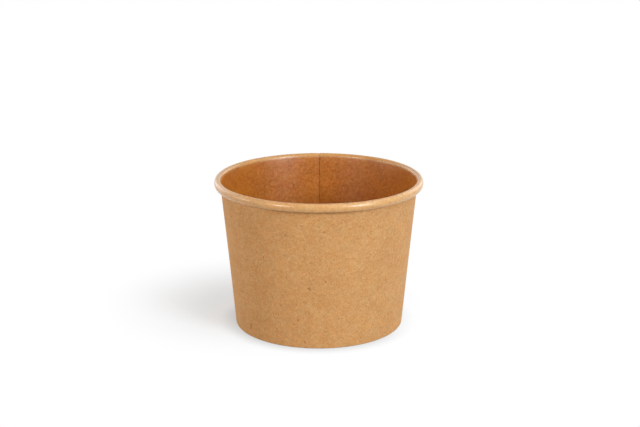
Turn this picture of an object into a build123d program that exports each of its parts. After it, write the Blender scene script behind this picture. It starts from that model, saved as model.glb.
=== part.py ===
"""A paper soup cup of kraft board, in millimetres.

The cup is made of two blanks. The wall is one fan-shaped blank that wraps round to a
cone and laps over itself in a side seam. Its upper edge is rolled outwards into the
rim, and its lower edge is turned under into a hem. The base is a round blank with its
edge bent down into a skirt. The hem grips the skirt, so the base sits above the table.

The origin is on the axis at the table. +Z points up, and the side seam faces +Y.
"""

import os
from math import asin, atan2, cos, degrees, hypot, radians, sin, tan

from build123d import *

# Overall size
rim_diameter = 98.0  # over the rolled rim
base_diameter = 79.6  # over the wall, where its line would meet the table
cup_height = 70.7

# Board of the two blanks
wall_board = 0.4
base_board = 0.4
glue_gap = 0.05  # bonding film on each side of the skirt

# Rolled rim
roll_core = 0.3  # inner radius of the innermost bend in the roll
roll_slack = 0.1  # free space across the roll beside its layers
roll_flank = 1.35  # straight outer side of the roll
tuck_length = 1.0  # edge of the wall that runs back up inside the roll

# Side seam
seam_azimuth = 90.0  # direction of the inner raw edge
lap_width = 7.0  # overlap of the wall's two ends
ramp_width = 3.0  # stretch in which the outer end climbs over the inner one
seam_foot = 1.0  # height at which the overlap is clipped, so that one layer turns under

# Hem and base
base_recess = 7.0  # table to the underside of the base
hem_stop = 1.0  # hem's raw edge below the underside of the base
hem_bend = 0.1  # inner radius of the fold
skirt_bend = 0.4  # inner radius between base and skirt
skirt_foot_gap = 0.2  # skirt's raw edge above the inside of the fold

# The seam stacks three doubled layers across the roll, and the roll has room for them
rim_width = 6 * wall_board + 2 * roll_core + roll_slack
heel_radius = 2 * wall_board + roll_core  # outside of the roll's lower bend
crown_radius = rim_width / 2  # outside of the roll's upper bend
crown_centre_radius = rim_diameter / 2 - crown_radius
crown_centre_height = cup_height - crown_radius

# The wall's outer face is the line from the base's outline that is tangent to the roll
rise = crown_centre_height
run_out = crown_centre_radius - base_diameter / 2
tangent_offset = crown_radius - wall_board
taper = degrees(atan2(run_out, rise) - asin(tangent_offset / hypot(run_out, rise)))
along_wall = Vector(sin(radians(taper)), cos(radians(taper)))
out_of_wall = Vector(cos(radians(taper)), -sin(radians(taper)))

# The hem leaves a slot for the skirt
slot_width = base_board + 2 * glue_gap
hem_height = base_recess - hem_stop
fold_centre_height = wall_board + hem_bend

ramp_angle = degrees(ramp_width / crown_centre_radius)
lap_angle = degrees(lap_width / crown_centre_radius)


def wall_radius(height, depth):
    """Radius of the wall at a height, at a depth in the board from the food side."""
    outer_face = base_diameter / 2 + height * tan(radians(taper))
    return outer_face - (wall_board - depth) / cos(radians(taper))


def upright(azimuth):
    """Plane through the axis whose x axis points away from it, in the given direction."""
    return Plane.XZ.rotated((0, 0, azimuth))


def hem_run(depth):
    """The board's line at one depth from the hem's raw edge to the foot of the seam."""
    bend = hem_bend + depth
    leg_radius = wall_radius(hem_height, 0) - (slot_width + depth) / cos(radians(taper))
    slot_radius = wall_radius(fold_centre_height, 0)
    inner_centre = Vector(
        slot_radius - (slot_width - hem_bend) / cos(radians(taper)), fold_centre_height
    )
    outer_centre = Vector(
        slot_radius - hem_bend / cos(radians(taper)), fold_centre_height
    )
    with BuildLine() as run:
        leg = Line((leg_radius, hem_height), inner_centre - out_of_wall * bend)
        inner_fold = JernArc(leg @ 1, leg % 1, bend, 90 + taper)
        sole = Line(inner_fold @ 1, outer_centre - Vector(0, bend))
        outer_fold = JernArc(sole @ 1, sole % 1, bend, 90 - taper)
        Line(outer_fold @ 1, (wall_radius(seam_foot, depth), seam_foot))
    return run.wire()


def wall_run(depth):
    """The board's line at one depth from the foot of the seam to the edge in the roll."""
    crown = crown_radius - depth
    crown_centre = Vector(crown_centre_radius, crown_centre_height)
    with BuildLine() as run:
        wall = Line(
            (wall_radius(seam_foot, depth), seam_foot),
            crown_centre - out_of_wall * crown,
        )
        upper_bend = JernArc(wall @ 1, wall % 1, crown, taper - 180)
        flank = Line(upper_bend @ 1, upper_bend @ 1 - Vector(0, roll_flank))
        lower_bend = JernArc(flank @ 1, flank % 1, heel_radius - depth, -180 - taper)
        Line(lower_bend @ 1, lower_bend @ 1 + along_wall * tuck_length)
    return run.wire()


def board_section(run, near, far):
    """Section of the board between two depths, with radius along x and height along y."""
    near_line = run(near)
    far_line = run(far)
    with BuildSketch() as section:
        with BuildLine():
            add(near_line)
            add(far_line)
            Line(near_line @ 0, far_line @ 0)
            Line(near_line @ 1, far_line @ 1)
        make_face()
    return section.sketch


single_hem = board_section(hem_run, 0, wall_board)
single_wall = board_section(wall_run, 0, wall_board)
lapped_wall = board_section(wall_run, wall_board, 2 * wall_board)

with BuildPart() as sidewall:
    # The hem is one layer all the way round
    with BuildSketch(upright(seam_azimuth)):
        add(single_hem)
    revolve(axis=Axis.Z)
    # The wall and its roll, from the top of the ramp round to the inner raw edge
    with BuildSketch(upright(seam_azimuth + ramp_angle)):
        add(single_wall)
    revolve(axis=Axis.Z, revolution_arc=360 - ramp_angle)
    # The ramp that takes the other end outwards by one thickness
    with BuildSketch(upright(seam_azimuth + ramp_angle)):
        add(single_wall)
    with BuildSketch(upright(seam_azimuth)):
        add(lapped_wall)
    loft(ruled=True)
    # The outer layer of the overlap
    with BuildSketch(upright(seam_azimuth - lap_angle)):
        add(lapped_wall)
    revolve(axis=Axis.Z, revolution_arc=lap_angle)


def base_half_section():
    """Half section of the base, from the axis out and down to the skirt's raw edge."""
    skirt_foot = wall_board + skirt_foot_gap
    outer_bend = skirt_bend + base_board
    top = base_recess + base_board
    bend_height = base_recess - skirt_bend

    def skirt_radius(height, inset):
        return wall_radius(height, 0) - (glue_gap + inset) / cos(radians(taper))

    bend_centre = Vector(skirt_radius(bend_height, outer_bend), bend_height)
    with BuildSketch() as section:
        with BuildLine():
            upper_face = Line((0, top), (bend_centre.X, top))
            JernArc(upper_face @ 1, (1, 0), outer_bend, -90 - taper)
            outer_end = bend_centre + out_of_wall * outer_bend
            outer_foot = Vector(skirt_radius(skirt_foot, 0), skirt_foot)
            inner_foot = Vector(skirt_radius(skirt_foot, base_board), skirt_foot)
            Polyline(outer_end, outer_foot, inner_foot, bend_centre + out_of_wall * skirt_bend)
            under_face = Line((bend_centre.X, base_recess), (0, base_recess))
            JernArc(under_face @ 0, (1, 0), skirt_bend, -90 - taper)
            Line(under_face @ 1, upper_face @ 0)
        make_face()
    return section.sketch


with BuildPart() as base:
    with BuildSketch(upright(seam_azimuth)):
        add(base_half_section())
    revolve(axis=Axis.Z)

sidewall.part.label = "sidewall"
base.part.label = "base"

os.makedirs("parts", exist_ok=True)
export_step(sidewall.part, "parts/sidewall.step")
export_step(base.part, "parts/base.step")
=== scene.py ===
"""The looks of the paper soup cup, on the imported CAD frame.

The code that makes the board counts in millimetres, as on a drawing, and scales every
vertex to metres. The board's map is in millimetres too, and so are the patterns that the
materials draw on it. The floor, the lamps and the camera are in metres. The camera stands
on the -Y side.
"""

from math import asin, atan2, cos, degrees, hypot, pi, radians, sin, tan

import bmesh
import bpy
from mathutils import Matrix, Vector


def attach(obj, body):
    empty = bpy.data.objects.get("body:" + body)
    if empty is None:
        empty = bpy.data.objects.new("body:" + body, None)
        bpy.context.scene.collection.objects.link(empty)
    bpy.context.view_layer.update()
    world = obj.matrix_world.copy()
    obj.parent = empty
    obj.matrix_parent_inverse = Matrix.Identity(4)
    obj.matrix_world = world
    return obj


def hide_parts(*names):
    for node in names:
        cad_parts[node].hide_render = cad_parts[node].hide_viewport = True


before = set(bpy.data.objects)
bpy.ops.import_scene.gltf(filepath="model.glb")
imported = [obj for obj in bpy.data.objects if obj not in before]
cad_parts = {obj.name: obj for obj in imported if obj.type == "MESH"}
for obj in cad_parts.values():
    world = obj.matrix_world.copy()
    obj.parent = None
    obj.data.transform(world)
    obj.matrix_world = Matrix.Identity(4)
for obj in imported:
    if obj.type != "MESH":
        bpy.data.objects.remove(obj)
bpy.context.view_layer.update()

# Overall size, as in the solids
RIM_DIAMETER = 98.0
BASE_DIAMETER = 79.6
CUP_HEIGHT = 70.7
BOARD = 0.4

# Rolled rim
ROLL_CORE = 0.3
ROLL_SLACK = 0.1
ROLL_HEIGHT = 4.0
ROLL_BULGE = 2.15  # top of the roll to its widest place
ROLL_HEEL = 1.3  # from its widest place in to its lowest one
TUCK_LENGTH = 1.0
ROLL_SQUEEZE = 0.6  # share of the layers' thickness that the curling tool presses out at the seam

# Side seam
SEAM_AZIMUTH = 89.4
LAP_WIDTH = 7.0
RAMP_WIDTH = 3.0
SEAM_FOOT = 0.6
GLUE_LINE = 0.02

# Hem and base
BASE_RECESS = 7.0
HEM_HEIGHT = 6.0
HEM_BEND = 0.1
SLOT_WIDTH = 0.5
SKIRT_BEND = 0.4
SKIRT_FOOT = 0.6
GLUE_GAP = 0.05
KNURL_DEPTH = 0.12  # pressed into the hem's inner face

# Out of true: waves round the cup, each with its number, its size and its turn in radians
WAVES_OUT = ((2, 0.10, 0.6), (3, 0.06, -1.1), (7, 0.025, 2.0))
WAVES_UP = ((3, 0.035, 0.4), (8, 0.02, 1.3), (17, 0.012, 0.0))
TRUE_HEIGHT = 9.0  # up to here the base keeps the wall round
HOLLOW_HEIGHT = 56.0  # of the stretch above it in which the wall is a little hollow
HOLLOW_DEPTH = 0.07
DISH_RADIUS = 36.0  # of the base
DISH_DEPTH = 0.22

# Mesh
COLUMNS = 540  # round the wall
COLUMNS_PER_TOOTH = 4  # of the knurl
SQUEEZE_COLUMNS = 8  # beside the seam's layers, in which the board is pressed less and less
LEG_ROWS = 7
FOLD_ROWS = 7  # in each of the hem's two bends
WALL_ROWS = 22
CROWN_ROWS = 9
FLANK_ROWS = 12
HEEL_ROWS = 10
CURL_ROWS = 7  # in the bend up to the tuck
TUCK_ROWS = 2
BASE_COLUMNS = 180
DISC_ROWS = 12
SKIRT_BEND_ROWS = 10
SKIRT_ROWS = 4
GRID_RADIUS = 24.0  # of the disc's middle, which is a square grid of faces
MAP_RADIUS = 44.0  # of the wall's map, about halfway up
SHARP_ANGLE = 38.0

OUTSIDE, INSIDE, ROLL, CUT_EDGE = range(4)

roll_width = 6 * BOARD + 2 * ROLL_CORE + ROLL_SLACK
crown_radius = roll_width / 2
tuck_radius = 2 * BOARD + ROLL_CORE
crown_x = RIM_DIAMETER / 2 - crown_radius
crown_z = CUP_HEIGHT - crown_radius
run_out = crown_x - BASE_DIAMETER / 2
taper = atan2(run_out, crown_z) - asin((crown_radius - BOARD) / hypot(run_out, crown_z))
along_wall = Vector((sin(taper), cos(taper)))
out_of_wall = Vector((cos(taper), -sin(taper)))


def food_radius(height):
    """Radius of the wall's food face at a height."""
    return BASE_DIAMETER / 2 + height * tan(taper) - BOARD / cos(taper)


class Path:
    """The food face's line in the upright section, with the direction through the board."""

    def __init__(self):
        self.points = []
        self.through = []

    def add(self, point, through):
        self.points.append(Vector(point))
        self.through.append(Vector(through).normalized())

    def line(self, start, end, steps, through):
        first = 1 if self.points else 0
        for i in range(first, steps + 1):
            self.add(Vector(start).lerp(Vector(end), i / steps), through)

    def arc(self, centre, wide, high, first, last, steps, inward):
        """A stretch of an oval with these half axes, from one angle to another, in degrees.
        The board lies inside it if inward."""
        for i in range(1, steps + 1):
            angle = radians(first + (last - first) * i / steps)
            rim = Vector((wide * cos(angle), high * sin(angle)))
            out = Vector((cos(angle) * high, sin(angle) * wide))
            self.add(Vector(centre) + rim, -out if inward else out)

    def lengths(self):
        run = [0.0]
        for a, b in zip(self.points, self.points[1:]):
            run.append(run[-1] + (b - a).length)
        return run


def wall_path():
    """From the hem's raw edge round its fold, up the wall and round the roll to the tuck."""
    tilt = degrees(taper)
    path = Path()
    fold_z = BOARD + HEM_BEND
    slot_x = food_radius(fold_z)
    inner_centre = Vector((slot_x - (SLOT_WIDTH - HEM_BEND) / cos(taper), fold_z))
    outer_centre = Vector((slot_x - HEM_BEND / cos(taper), fold_z))
    leg_top = Vector((food_radius(HEM_HEIGHT) - SLOT_WIDTH / cos(taper), HEM_HEIGHT))
    path.line(leg_top, inner_centre - HEM_BEND * out_of_wall, LEG_ROWS, -out_of_wall)
    leg_rows = len(path.points)
    path.arc(inner_centre, HEM_BEND, HEM_BEND, 180 - tilt, 270, FOLD_ROWS, False)
    path.line(path.points[-1], outer_centre - Vector((0, HEM_BEND)), 1, (0, -1))
    path.arc(outer_centre, HEM_BEND, HEM_BEND, -90, -tilt, FOLD_ROWS, False)
    foot = Vector((food_radius(SEAM_FOOT), SEAM_FOOT))
    path.line(path.points[-1], foot, 1, out_of_wall)
    foot_row = len(path.points) - 1
    crown = Vector((crown_x, crown_z))
    path.line(foot, crown - crown_radius * out_of_wall, WALL_ROWS, out_of_wall)
    crown_row = len(path.points) - 1
    path.arc(crown, crown_radius, crown_radius, 180 - tilt, 90, CROWN_ROWS, True)
    widest = CUP_HEIGHT - ROLL_BULGE
    path.arc((crown_x, widest), crown_radius, ROLL_BULGE, 90, 0, FLANK_ROWS, True)
    heel_x = RIM_DIAMETER / 2 - ROLL_HEEL
    path.arc((heel_x, widest), ROLL_HEEL, ROLL_HEIGHT - ROLL_BULGE, 0, -90, HEEL_ROWS, True)
    tuck = Vector((heel_x, CUP_HEIGHT - ROLL_HEIGHT + tuck_radius))
    path.arc(tuck, tuck_radius, tuck_radius, -90, -180 - tilt, CURL_ROWS, True)
    tuck_end = path.points[-1] + TUCK_LENGTH * along_wall
    path.line(path.points[-1], tuck_end, TUCK_ROWS, out_of_wall)
    return path, leg_rows, foot_row, crown_row


def clamped(share):
    return min(max(share, 0), 1)


def eased(share):
    share = clamped(share)
    return share * share * (3 - 2 * share)


def wander(azimuth, height):
    """How far hand and machine have pushed the wall out of true, outwards and upwards."""
    rise = eased((height - TRUE_HEIGHT) / (CUP_HEIGHT - TRUE_HEIGHT))
    a = radians(azimuth)
    out, up = (
        sum(size * sin(number * a + turn) for number, size, turn in waves)
        for waves in (WAVES_OUT, WAVES_UP)
    )
    hollow = HOLLOW_DEPTH * sin(pi * clamped((height - TRUE_HEIGHT) / HOLLOW_HEIGHT))
    return out * rise - hollow, up * rise


def place(azimuth, point):
    """The point of an upright section at an azimuth, in metres."""
    out, up = wander(azimuth, point[1])
    a = radians(azimuth)
    radius = (point[0] + out) / 1000
    return radius * cos(a), radius * sin(a), (point[1] + up) / 1000


class Board:
    """Collects the faces of one blank of board, which is a closed sheet with two faces."""

    def __init__(self):
        self.bm = bmesh.new()
        self.map = self.bm.loops.layers.uv.new("board")

    def vertex(self, co):
        return self.bm.verts.new(co)

    def face(self, corners, places, side):
        """A face between these vertices, of which two may be the same one."""
        kept = [i for i, v in enumerate(corners) if v not in corners[:i]]
        face = self.bm.faces.new([corners[i] for i in kept])
        face.material_index = side
        face.smooth = True
        for loop, i in zip(face.loops, kept):
            loop[self.map].uv = places[i]

    def finish(self, name, materials):
        bmesh.ops.recalc_face_normals(self.bm, faces=self.bm.faces)
        mesh = bpy.data.meshes.new(name)
        self.bm.to_mesh(mesh)
        self.bm.free()
        mesh.set_sharp_from_angle(angle=radians(SHARP_ANGLE))
        for material in materials:
            mesh.materials.append(material)
        piece = bpy.data.objects.new(name, mesh)
        bpy.context.scene.collection.objects.link(piece)
        return piece


def make_wall(materials):
    """The wall blank: a hem ring of one layer, and above it a wall that laps over itself."""
    path, leg_rows, foot, crown = wall_path()
    rows = len(path.points)
    lengths = path.lengths()
    step = 360 / COLUMNS
    ramp = round(degrees(RAMP_WIDTH / crown_x) / step)
    lap = round(degrees(LAP_WIDTH / crown_x) / step)
    last = COLUMNS + lap
    column_width = radians(step) * MAP_RADIUS
    board = Board()

    def at(row, column, depth):
        p = path.points[row] + path.through[row] * depth
        return board.vertex(place(SEAM_AZIMUTH - column * step, p))

    def thickness(row, column):
        """The board's thickness: the layers of the seam are pressed thinner in the roll."""
        into_roll = eased((row - crown) / CROWN_ROWS)
        beside = min(column - (COLUMNS - ramp), 0) if column > COLUMNS / 2 else lap - column
        into_seam = eased(1 + beside / SQUEEZE_COLUMNS)
        return BOARD * (1 - ROLL_SQUEEZE * into_roll * into_seam)

    def lap_offset(row, column):
        climb = clamped((column - COLUMNS + ramp) / ramp)
        gap = GLUE_LINE if row > foot else 0
        return climb * (thickness(row, COLUMNS) + gap)

    def knurl(row, column):
        pressed = abs(column / COLUMNS_PER_TOOTH % 1 - 0.5) * 2
        return KNURL_DEPTH * pressed if 1 <= row < leg_rows - 1 else 0

    hem_food = [[at(r, c, 0) for c in range(COLUMNS)] for r in range(foot + 1)]
    hem_back = [
        [at(r, c, BOARD - knurl(r, c)) for c in range(COLUMNS)] for r in range(foot + 1)
    ]
    wall_food, wall_back = {}, {}
    for r in range(foot, rows):
        for c in range(last + 1):
            offset = lap_offset(r, c)
            if r == foot and c <= COLUMNS - ramp:
                wall_food[r, c] = hem_food[r][c]
                wall_back[r, c] = hem_back[r][c]
            else:
                wall_food[r, c] = at(r, c, offset)
                wall_back[r, c] = at(r, c, offset + thickness(r, c))
    # Where the ramp ends, its food face starts on the back of the layer below
    board.bm.verts.remove(wall_food[foot, COLUMNS])
    wall_food[foot, COLUMNS] = hem_back[foot][0]

    def where(row, column):
        return column * column_width, lengths[row]

    def cell(grid, r, c, side):
        spots = ((r, c), (r, c + 1), (r + 1, c + 1), (r + 1, c))
        board.face([grid(*s) for s in spots], [where(*s) for s in spots], side)

    for r in range(foot):
        for c in range(COLUMNS):
            cell(lambda i, j: hem_food[i][j % COLUMNS], r, c, INSIDE)
            cell(lambda i, j: hem_back[i][j % COLUMNS], r, c, OUTSIDE)
    for r in range(foot, rows - 1):
        for c in range(last):
            cell(lambda i, j: wall_food[i, j], r, c, ROLL if r > crown else INSIDE)
            cell(lambda i, j: wall_back[i, j], r, c, OUTSIDE)

    def edge(food, back, places):
        """A strip of raw edge between the two faces, from one spot to the next."""
        shifted = [(u + BOARD, v + BOARD) for u, v in reversed(places)]
        board.face([*food, *reversed(back)], [*places, *shifted], CUT_EDGE)

    for c in range(COLUMNS):
        n = (c + 1) % COLUMNS
        spots = [where(0, c), where(0, c + 1)]
        edge([hem_food[0][c], hem_food[0][n]], [hem_back[0][c], hem_back[0][n]], spots)
    for c in range(last):
        spots = [where(rows - 1, c), where(rows - 1, c + 1)]
        food = [wall_food[rows - 1, c], wall_food[rows - 1, c + 1]]
        edge(food, [wall_back[rows - 1, c], wall_back[rows - 1, c + 1]], spots)
    for c in (0, last):
        for r in range(foot, rows - 1):
            spots = [where(r, c), where(r + 1, c)]
            food = [wall_food[r, c], wall_food[r + 1, c]]
            edge(food, [wall_back[r, c], wall_back[r + 1, c]], spots)
    for c in range(COLUMNS - ramp, last):
        spots = [where(foot, c), where(foot, c + 1)]
        food = [wall_food[foot, c], wall_food[foot, c + 1]]
        back = [wall_back[foot, c], wall_back[foot, c + 1]]
        if c < COLUMNS:
            n = (c + 1) % COLUMNS
            edge([hem_food[foot][c], hem_food[foot][n]], food, spots)
            edge([hem_back[foot][c], hem_back[foot][n]], back, spots)
        else:
            edge(food, back, spots)
    return board.finish("cup_wall", materials)


def make_base(materials):
    """The base blank: a disc with its edge bent down into a skirt."""
    path = Path()
    tilt = degrees(taper)
    outer_bend = SKIRT_BEND + BOARD
    top = BASE_RECESS + BOARD
    bend_z = BASE_RECESS - SKIRT_BEND
    bend_x = food_radius(bend_z) - (GLUE_GAP + outer_bend) / cos(taper)
    path.line((GRID_RADIUS, top), (bend_x, top), DISC_ROWS, (0, -1))
    path.arc((bend_x, bend_z), outer_bend, outer_bend, 90, -tilt, SKIRT_BEND_ROWS, True)
    skirt_end = Vector((food_radius(SKIRT_FOOT) - GLUE_GAP / cos(taper), SKIRT_FOOT))
    path.line(path.points[-1], skirt_end, SKIRT_ROWS, -out_of_wall)
    lengths = path.lengths()
    rows = len(path.points)
    board = Board()

    def sag(radius):
        """The disc is a little dished, as its edge was drawn down round a former."""
        share = max(1 - (radius / DISH_RADIUS) ** 2, 0)
        return -DISH_DEPTH * share * share

    def at(row, column, depth):
        p = path.points[row] + path.through[row] * depth
        a = 2 * pi * column / BASE_COLUMNS
        z = p.y + (sag(p.x) if p.y > bend_z else 0)
        return board.vertex((p.x * cos(a) / 1000, p.x * sin(a) / 1000, z / 1000))

    def where(row, column):
        reach = GRID_RADIUS + lengths[row]
        a = 2 * pi * column / BASE_COLUMNS
        return reach * cos(a), reach * sin(a)

    faces = [
        [[at(r, c, depth) for c in range(BASE_COLUMNS)] for r in range(rows)]
        for depth in (0, BOARD)
    ]
    for grid, side in zip(faces, (INSIDE, OUTSIDE)):
        for r in range(rows - 1):
            for c in range(BASE_COLUMNS):
                spots = ((r, c), (r, c + 1), (r + 1, c + 1), (r + 1, c))
                corners = [grid[i][j % BASE_COLUMNS] for i, j in spots]
                board.face(corners, [where(*s) for s in spots], side)
    for c in range(BASE_COLUMNS):
        n = (c + 1) % BASE_COLUMNS
        corners = [faces[0][-1][c], faces[0][-1][n], faces[1][-1][n], faces[1][-1][c]]
        spots = [where(rows - 1, c), where(rows - 1, c + 1)]
        board.face(corners, spots + spots[::-1], CUT_EDGE)

    # The middle of the disc is a square grid of faces that meets the first ring
    cells = BASE_COLUMNS // 4

    def disc_point(i, j):
        x, y = 2 * i / cells - 1, 2 * j / cells - 1
        if x == 0 and y == 0:
            return 0.0, 0.0
        if abs(x) >= abs(y):
            radius, angle = x, pi / 4 * y / x
            return radius * cos(angle) * GRID_RADIUS, radius * sin(angle) * GRID_RADIUS
        radius, angle = y, pi / 4 * x / y
        return radius * sin(angle) * GRID_RADIUS, radius * cos(angle) * GRID_RADIUS

    for grid, side, depth in zip(faces, (INSIDE, OUTSIDE), (0, BOARD)):
        ring = grid[0]
        inner = {}
        for i in range(cells + 1):
            for j in range(cells + 1):
                x, y = disc_point(i, j)
                if i in (0, cells) or j in (0, cells):
                    turn = round(atan2(y, x) / (2 * pi) * BASE_COLUMNS)
                    inner[i, j] = ring[turn % BASE_COLUMNS]
                else:
                    z = top - depth + sag(hypot(x, y))
                    inner[i, j] = board.vertex((x / 1000, y / 1000, z / 1000))
        for i in range(cells):
            for j in range(cells):
                spots = ((i, j), (i + 1, j), (i + 1, j + 1), (i, j + 1))
                board.face([inner[s] for s in spots], [disc_point(*s) for s in spots], side)
    return board.finish("cup_base", materials)


# Materials

BARE_KRAFT = (0.578, 0.296, 0.105)
FILM_KRAFT = (0.515, 0.252, 0.080)
ROLL_KRAFT = (0.610, 0.325, 0.112)
# The raw edges' colour: partly the raw edge's own colour, partly painted shade that makes the
# side seam read as a dark line.
EDGE_KRAFT_AND_SEAM_SHADE = (0.290, 0.137, 0.047)
# The base's food face takes part of the inside wall's tint: partly the film's own colour, partly
# painted shade of the cup's hollow.
BASE_KRAFT_AND_PAINTED_SHADE = (0.485, 0.222, 0.058)
WHITE = (1.0, 1.0, 1.0)

# How far the pulp's palest and darkest places differ from its colour, in red, green and blue
PALER = (0.09, 0.15, 0.28)
DARKER = (0.10, 0.155, 0.25)
DRIFT = (0.8, 1.1, 1.5)  # how much a drift of the sheet's tone changes each of them
REDDISH = (1.015, 0.97, 0.91)
YELLOWISH = (0.99, 1.025, 1.05)

# Fibres: their directions in degrees, each with the place where its noise begins
FIBRE_TURNS = ((8, 3.1), (47, 17.7), (83, 31.3), (118, 47.9), (156, 61.1))
FIBRE_LENGTH = 2.2
FIBRE_WIDTH = 0.42

# Kinds of specks: the width of their cells, the share of cells that stay empty, the largest
# radius, how drawn out they are and in which direction, their ink and its strength
SPECKS = (
    (2.2, 0.70, 0.42, 1.0, 0, "bark", 0.40),
    (3.3, 0.66, 0.50, 2.3, 24, "bark", 0.45),
    (3.3, 0.66, 0.50, 2.3, 101, "bark", 0.42),
    (3.7, 0.66, 0.50, 2.6, 149, "bark", 0.40),
    (10.0, 0.60, 0.60, 1.3, 63, "bark", 0.65),
    (2.6, 0.60, 0.40, 1.6, 52, "straw", 0.50),
    (2.8, 0.60, 0.40, 1.8, 138, "straw", 0.45),
)
SPECK_RIM = 0.12  # width of a speck's soft edge

RELIEF_DEPTH = 0.00004  # in metres
COAT_ROUGHNESS = 0.23


class Nodes:
    """Short calls for a material's node tree."""

    def __init__(self, material):
        material.use_nodes = True
        self.tree = material.node_tree
        self.tree.nodes.clear()

    def new(self, kind, inputs=(), **settings):
        node = self.tree.nodes.new(kind)
        for name, value in settings.items():
            setattr(node, name, value)
        for name, value in dict(inputs).items():
            if isinstance(value, bpy.types.NodeSocket):
                self.tree.links.new(value, node.inputs[name])
            else:
                node.inputs[name].default_value = value
        return node

    def math(self, operation, a, b=0.0, clamp=False):
        node = self.new("ShaderNodeMath", {0: a, 1: b}, operation=operation, use_clamp=clamp)
        return node.outputs[0]

    def weighted(self, *parts):
        """The sum of the values, each times its weight."""
        total = None
        for value, weight in parts:
            part = self.math("MULTIPLY", value, weight)
            total = part if total is None else self.math("ADD", total, part)
        return total

    def band(self, value, low, high, to_low=0.0, to_high=1.0):
        """The value's rise from low to high, eased, as a number between two others."""
        ends = {"From Min": low, "From Max": high, "To Min": to_low, "To Max": to_high}
        node = self.new(
            "ShaderNodeMapRange", {"Value": value, **ends}, interpolation_type="SMOOTHSTEP"
        )
        return node.outputs["Result"]

    def mix(self, factor, a, b, blend="MIX"):
        node = self.new("ShaderNodeMix", {"Factor": factor}, data_type="RGBA", blend_type=blend)
        for socket, value in ((node.inputs[6], a), (node.inputs[7], b)):
            if isinstance(value, bpy.types.NodeSocket):
                self.tree.links.new(value, socket)
            else:
                socket.default_value = (*value, 1.0)
        return node.outputs[2]

    def tinted(self, paint, tint):
        return self.mix(1.0, paint, tint, "MULTIPLY")

    def noise(self, vector, scale, detail, roughness):
        node = self.new(
            "ShaderNodeTexNoise",
            {"Vector": vector, "Scale": scale, "Detail": detail, "Roughness": roughness},
        )
        return node.outputs["Fac"]

    def moved(self, vector, shift):
        node = self.new("ShaderNodeMapping", {"Vector": vector, "Location": shift})
        return node.outputs["Vector"]

    def bent(self, vector, scale, reach):
        """The place moved about by noise of this scale, up to reach along each axis."""
        push = self.new("ShaderNodeTexNoise", {"Vector": vector, "Scale": scale, "Detail": 2.0})
        node = self.new(
            "ShaderNodeVectorMath",
            {0: push.outputs["Color"], 1: (reach, reach, reach), 2: vector},
            operation="MULTIPLY_ADD",
        )
        return node.outputs[0]

    def framed(self, vector, origin, turn, length, width):
        """The place seen from an origin, counted in lengths along a turned direction and in
        widths across it."""
        node = self.new(
            "ShaderNodeMapping",
            {
                "Vector": vector,
                "Location": (*origin, 0),
                "Rotation": (0, 0, radians(turn)),
                "Scale": (length, width, 1),
            },
            vector_type="TEXTURE",
        )
        return node.outputs["Vector"]

    def distance(self, vector):
        node = self.new("ShaderNodeVectorMath", {0: vector}, operation="LENGTH")
        return node.outputs["Value"]

    def y_of(self, vector):
        return self.new("ShaderNodeSeparateXYZ", {0: vector}).outputs["Y"]


def shade(colour, factors):
    return tuple(c * f for c, f in zip(colour, factors))


def sheet_place(azimuth, height):
    """Where a spot on the wall lies on the board's map."""
    path, _, foot_row, _ = wall_path()
    along = path.lengths()[foot_row] + (height - SEAM_FOOT) / cos(taper)
    return (SEAM_AZIMUTH - azimuth) % 360 * radians(1) * MAP_RADIUS, along


def sheet_length_to_roll():
    path, _, _, crown_row = wall_path()
    return path.lengths()[crown_row]


def drifting(nodes, spot, paint, cloudy):
    """The pulp is redder in some patches and yellower in others, and its tone drifts."""
    patch = nodes.noise(nodes.moved(spot, (211.0, 97.0, 0)), 0.22, 2.0, 0.55)
    paint = nodes.tinted(paint, nodes.mix(nodes.band(patch, 0.38, 0.62), REDDISH, YELLOWISH))
    drift = nodes.noise(nodes.moved(spot, (57.0, 143.0, 0)), 0.055, 2.0, 0.5)
    darker, paler = ([1 + sign * cloudy * k for k in DRIFT] for sign in (-1, 1))
    return nodes.tinted(paint, nodes.mix(nodes.band(drift, 0.36, 0.64), darker, paler))


def fibre_places(nodes, spot):
    """Where pale fibres and dark ones lie: the highest and lowest places of noise drawn out
    along several directions, on a sheet that is bent a little so that they curl."""
    curled = nodes.bent(spot, 0.55, 2.0)
    light = dull = None
    for turn, shift in FIBRE_TURNS:
        drawn = nodes.framed(curled, (shift, shift * 0.7), turn, FIBRE_LENGTH, FIBRE_WIDTH)
        strands = nodes.noise(drawn, 1.0, 1.0, 0.5)
        lit = nodes.band(strands, 0.64, 0.73)
        sunk = nodes.band(strands, 0.34, 0.26)
        light = lit if light is None else nodes.math("MAXIMUM", light, lit)
        dull = sunk if dull is None else nodes.math("MAXIMUM", dull, sunk)
    return light, dull


def speckled(nodes, spot, paint, inks, strongest):
    """Small ragged marks, pale and dark, each in its own cell of the sheet."""
    frayed = nodes.bent(spot, 2.6, 0.7)
    for cell, empty, radius, drawn, turn, ink, strength in SPECKS:
        shift = 3.7 * cell
        length, width = cell * drawn**0.5, cell / drawn**0.5
        cells = nodes.new(
            "ShaderNodeTexVoronoi",
            {
                "Vector": nodes.framed(frayed, (shift, shift * 0.7), turn, length, width),
                "Scale": 1.0,
                "Randomness": 1.0,
            },
            feature="F1",
            voronoi_dimensions="2D",
        )
        chance = nodes.new("ShaderNodeSeparateColor", {0: cells.outputs["Color"]}).outputs[0]
        size = nodes.band(chance, empty, 1.0, 0.0, radius / cell)
        near = nodes.math("SUBTRACT", size, cells.outputs["Distance"])
        speck = nodes.band(near, 0.0, SPECK_RIM / cell)
        paint = nodes.mix(nodes.math("MULTIPLY", speck, strength * strongest), paint, inks[ink])
    return paint


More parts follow.
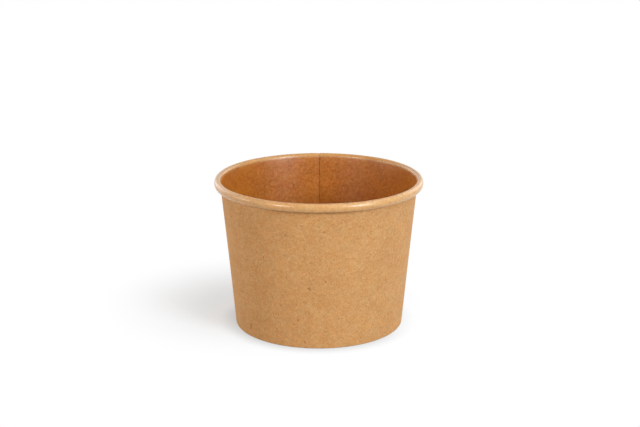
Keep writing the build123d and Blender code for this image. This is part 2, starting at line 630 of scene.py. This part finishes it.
def kraft(
    name, colour, start, fibre, roughness, grain, specular,
    coat=0.0, cloudy=0.03, contrast=1.0, specks=1.0, tint_and_painted_shade=None, flecks=(),
):
    """Kraft board seen close: cloudy pulp, short fibres laid at many angles and dark specks.

    start is the place on the sheet where the pattern begins, so that the two faces of the
    board differ. fibre is how strongly the fibres show, grain is how much the relief does,
    and specular and coat are how much the face shines. cloudy is how far the sheet's tone
    drifts, contrast scales the pulp's mottling, and specks scales the specks' strength.
    deep is a tint and the stretch, counted from the start of the roll, in which it fades
    out. On the inside this tint is partly the film's darker colour and partly painted shade
    of the cup's hollow; on the roll it is painted shade on the crest.
    flecks are single dark marks on the wall, each with its azimuth, height, slant, length
    and width.
    """
    material = bpy.data.materials.new(name)
    nodes = Nodes(material)
    pale = shade(colour, [1 + contrast * k for k in PALER])
    dark = shade(colour, [1 - contrast * k for k in DARKER])
    inks = {"bark": shade(dark, (0.64, 0.50, 0.42)), "straw": shade(pale, (1.25, 1.35, 1.5))}
    sheet = nodes.new("ShaderNodeUVMap", uv_map="board").outputs["UV"]
    spot = nodes.moved(sheet, (start, start * 0.37, start * 0.11))

    cloud = nodes.noise(spot, 0.16, 2.0, 0.5)
    mottle = nodes.noise(spot, 0.60, 3.0, 0.6)
    fine = nodes.noise(spot, 1.6, 2.0, 0.6)
    tone = nodes.weighted((cloud, 0.22), (mottle, 0.40), (fine, 0.38))
    paint = nodes.mix(nodes.band(tone, 0.37, 0.63), dark, pale)
    paint = drifting(nodes, spot, paint, cloudy)
    light, dull = fibre_places(nodes, spot)
    for fibres, ink in (
        (light, shade(pale, (1.12, 1.15, 1.2))),
        (dull, shade(dark, (0.78, 0.68, 0.6))),
    ):
        paint = nodes.mix(nodes.math("MULTIPLY", fibres, fibre), paint, ink)
    paint = speckled(nodes, spot, paint, inks, specks)

    for azimuth, height, turn, length, width in flecks:
        oval = nodes.framed(sheet, sheet_place(azimuth, height), turn, length / 2, width / 2)
        mark = nodes.band(nodes.distance(oval), 1.25, 0.75, 0.0, 0.95)
        paint = nodes.mix(mark, paint, inks["bark"])

    # The tint holds up to a stretch past the start of the roll and fades out across it: painted
    # shade, on the inside together with the film's own darker colour.
    if tint_and_painted_shade:
        tint, low, high = tint_and_painted_shade
        roll = sheet_length_to_roll()
        past = nodes.band(nodes.y_of(sheet), roll + low, roll + high)
        paint = nodes.tinted(paint, nodes.mix(past, tint, WHITE))

    relief = nodes.weighted((mottle, 0.5), (fine, 0.6), (light, 0.3))
    bump = nodes.new(
        "ShaderNodeBump", {"Height": relief, "Distance": RELIEF_DEPTH, "Strength": grain}
    )
    surface = nodes.new(
        "ShaderNodeBsdfPrincipled",
        {
            "Base Color": paint,
            "Roughness": nodes.band(mottle, 0.3, 0.7, roughness - 0.05, roughness + 0.06),
            "Normal": bump.outputs["Normal"],
            "Specular IOR Level": specular,
            "Coat Weight": coat,
            "Coat Roughness": COAT_ROUGHNESS,
        },
    )
    nodes.new("ShaderNodeOutputMaterial", {"Surface": surface.outputs[0]})
    return material


kraft_outside = kraft(
    "kraft_outside", BARE_KRAFT, start=0.0, fibre=0.45, roughness=0.74, grain=0.5, specular=0.45,
    flecks=[(-96.2, 29.9, 20, 1.1, 0.8), (-141.6, 5.4, 108, 3.4, 0.8)],
)
# The inside's tint makes the wall below the roll darker and more saturated: partly the film's own
# colour, partly painted shade of the cup's hollow. It fades out just below the roll.
kraft_inside = kraft(
    "kraft_inside", FILM_KRAFT, start=517.0, fibre=0.45, roughness=0.34, grain=0.15,
    specular=0.88, cloudy=0.06, contrast=1.7, specks=0.7, tint_and_painted_shade=((0.81, 0.52, 0.15), -0.8, 0.2),
    flecks=[(106.7, 55.3, 60, 1.1, 0.9)],
)
# The roll's tint darkens its inner side and top, fading out past the crest: painted shade.
kraft_roll = kraft(
    "kraft_roll", ROLL_KRAFT, start=517.0, fibre=0.35, roughness=0.42, grain=0.10,
    specular=0.24, coat=0.80, tint_and_painted_shade=((0.86, 0.76, 0.50), 2.0, 3.5),
)
kraft_cut = kraft(
    "kraft_cut_edge", EDGE_KRAFT_AND_SEAM_SHADE, start=1033.0, fibre=0.6, roughness=0.85, grain=0.8,
    specular=0.3,
)
kraft_base = kraft(
    "kraft_base", BASE_KRAFT_AND_PAINTED_SHADE, start=2069.0, fibre=0.45, roughness=0.38, grain=0.15,
    specular=0.70, cloudy=0.06, contrast=1.7, specks=0.7,
)

cup_wall = make_wall((kraft_outside, kraft_inside, kraft_roll, kraft_cut))
cup_base = make_base((kraft_outside, kraft_base, kraft_roll, kraft_cut))
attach(cup_wall, "root")
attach(cup_base, "root")
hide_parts("sidewall")
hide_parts("base")


# Stage

FLOOR_REACH = 4.0
FLOOR_CELLS = 24

# The floor's shading fades to white round a place at the back left of the foot, on the side
# to which the shadow falls
FADE_CENTRE = (-0.028, 0.024)
FADE_DEPTH = 0.92  # as a share of its width
FADE_START = 0.021
FADE_END = 0.087
FADE_LEAST = 0.46  # share of white up to its start

# Tones of the floor: at the foot and further out, and for the light that it throws back
# The foot's tone is bluish so as to cancel the warm light that the cup throws onto the floor
# there: a painted counter to reflected light.
FOOT_TONE = (0.895, 0.955, 1.0)
FLOOR_TONE = (0.96, 0.97, 0.975)
BOUNCE_TONE = (0.44, 0.44, 0.44)
FOOT_TONE_RADIUS = 0.04  # up to here the foot's tone
FLOOR_TONE_RADIUS = 0.12  # from here on the floor's own

CONTACT_REACH = 0.009  # of the shade at the foot
FAINT_REACH = 0.0075  # of the shade that the white part of the floor keeps there
FAINT_FRONT = (-0.034, 0.42)  # Y at the front of the foot, and the share of that shade there
FAINT_SIDE = (-0.008, 0.12)  # the same at its sides

AMBIENT = 0.17
BACKDROP = 1.0

LAMP_DISTANCE = 1.2
LAMP_AIM = Vector((0, 0, 0.035))
COOL = (0.97, 1.03, 1.085)
COOL_SIDE = (0.97, 1.02, 1.08)
WARM = (1.0, 0.895, 0.78)

# Name, azimuth, elevation, size, level and colour of each lamp
LAMPS = (
    ("key", 45, 25, 0.40, 0.495, COOL),
    ("key_low", 45, 12, 0.50, 0.18, WHITE),
    ("key_high", 45, 58, 1.00, 0.14, WHITE),
    ("side_right", 90, 50, 0.75, 0.17, COOL_SIDE),
    ("fill_front", -42, 22, 0.32, 0.35, WARM),
    ("fill_left", -90, 14, 0.50, 0.16, WHITE),
    ("overhead", 0, 80, 0.75, 0.07, WHITE),
    ("back_left", -135, 16, 0.75, 0.17, WHITE),
    ("back_right", 135, 20, 0.75, 0.17, WHITE),
)


def seen_ray(nodes):
    """1 for the rays that show a surface's look, and 0 for those that carry its light."""
    rays = nodes.new("ShaderNodeLightPath")
    seen = nodes.math("ADD", rays.outputs["Is Camera Ray"], rays.outputs["Is Glossy Ray"])
    return nodes.math("ADD", seen, rays.outputs["Is Transmission Ray"], clamp=True)


def occluded(nodes, colour, reach):
    """The colour, darker where something stands closer than reach."""
    node = nodes.new("ShaderNodeAmbientOcclusion", {"Distance": reach, "Color": colour})
    return node.outputs["Color"]


def floor_white():
    """White away from the cup, and shaded where its shadow and its foot are."""
    material = bpy.data.materials.new("floor_white")
    nodes = Nodes(material)
    spot = nodes.new("ShaderNodeNewGeometry").outputs["Position"]
    seen = seen_ray(nodes)
    away = nodes.distance(nodes.framed(spot, FADE_CENTRE, 0, 1.0, FADE_DEPTH))
    fade = nodes.math("MULTIPLY", nodes.band(away, FADE_START, FADE_END, FADE_LEAST), seen)

    outwards = nodes.band(nodes.distance(spot), FOOT_TONE_RADIUS, FLOOR_TONE_RADIUS)
    plain_tone = nodes.mix(outwards, FOOT_TONE, FLOOR_TONE)
    tone = nodes.mix(seen, BOUNCE_TONE, occluded(nodes, plain_tone, CONTACT_REACH))
    lit = nodes.new("ShaderNodeBsdfDiffuse", {"Color": tone})

    front, share_in_front = FAINT_FRONT
    side, share_beside = FAINT_SIDE
    share = nodes.band(nodes.y_of(spot), front, side, share_in_front, share_beside)
    faint = nodes.mix(share, WHITE, occluded(nodes, (*WHITE, 1.0), FAINT_REACH))
    plain = nodes.new("ShaderNodeEmission", {"Color": faint, "Strength": 1.0})
    both = nodes.new("ShaderNodeMixShader", {0: fade, 1: lit.outputs[0], 2: plain.outputs[0]})
    nodes.new("ShaderNodeOutputMaterial", {"Surface": both.outputs[0]})
    return material


def make_floor():
    """A pale floor that keeps the cup's shadow and runs out to plain white."""
    mesh = bpy.data.meshes.new("floor")
    bm = bmesh.new()
    bmesh.ops.create_grid(bm, x_segments=FLOOR_CELLS, y_segments=FLOOR_CELLS, size=FLOOR_REACH)
    bm.to_mesh(mesh)
    bm.free()
    mesh.materials.append(floor_white())
    floor = bpy.data.objects.new("floor", mesh)
    bpy.context.scene.collection.objects.link(floor)


def make_sky():
    """Soft light from all round, and a white backdrop for the rays that show it."""
    world = bpy.data.worlds.new("studio")
    bpy.context.scene.world = world
    sky = Nodes(world)
    ambient, backdrop = (
        sky.new("ShaderNodeBackground", {"Color": (*WHITE, 1.0), "Strength": strength})
        for strength in (AMBIENT, BACKDROP)
    )
    both = sky.new(
        "ShaderNodeMixShader",
        {0: seen_ray(sky), 1: ambient.outputs[0], 2: backdrop.outputs[0]},
    )
    sky.new("ShaderNodeOutputWorld", {"Surface": both.outputs[0]})


def softbox(name, azimuth, elevation, size, level, colour):
    """A square lamp. Azimuth is from the camera's side towards +X, and level is the tone
    that it gives a white surface that faces it."""
    lamp = bpy.data.lights.new(name, "AREA")
    lamp.shape = "SQUARE"
    lamp.size = size
    lamp.energy = level * pi * pi * LAMP_DISTANCE * LAMP_DISTANCE
    lamp.color = colour
    box = bpy.data.objects.new(name, lamp)
    a, e = radians(azimuth), radians(elevation)
    away = Vector((sin(a) * cos(e), -cos(a) * cos(e), sin(e)))
    box.location = LAMP_AIM + LAMP_DISTANCE * away
    box.rotation_euler = away.to_track_quat("Z", "Y").to_euler()
    bpy.context.scene.collection.objects.link(box)


make_floor()
make_sky()
for lamp_settings in LAMPS:
    softbox(*lamp_settings)


# Camera

CAMERA_DISTANCE = 0.650
CAMERA_ELEVATION = 16.10
AIM = Vector((0.000512, 0.0, 0.052700))
SENSOR_WIDTH = 36.0  # in millimetres
PICTURE_WIDTH = 640  # in pixels
FOCAL_LENGTH = 1373.61  # in pixels

lens = bpy.data.cameras.new("camera")
lens.sensor_width = SENSOR_WIDTH
lens.lens = FOCAL_LENGTH / PICTURE_WIDTH * SENSOR_WIDTH
camera = bpy.data.objects.new("camera", lens)
pitch = radians(CAMERA_ELEVATION)
camera.location = AIM + CAMERA_DISTANCE * Vector((0, -cos(pitch), sin(pitch)))
camera.rotation_euler = (pi / 2 - pitch, 0, 0)
bpy.context.scene.collection.objects.link(camera)
bpy.context.scene.camera = camera
bpy.context.scene.view_settings.view_transform = "Standard"
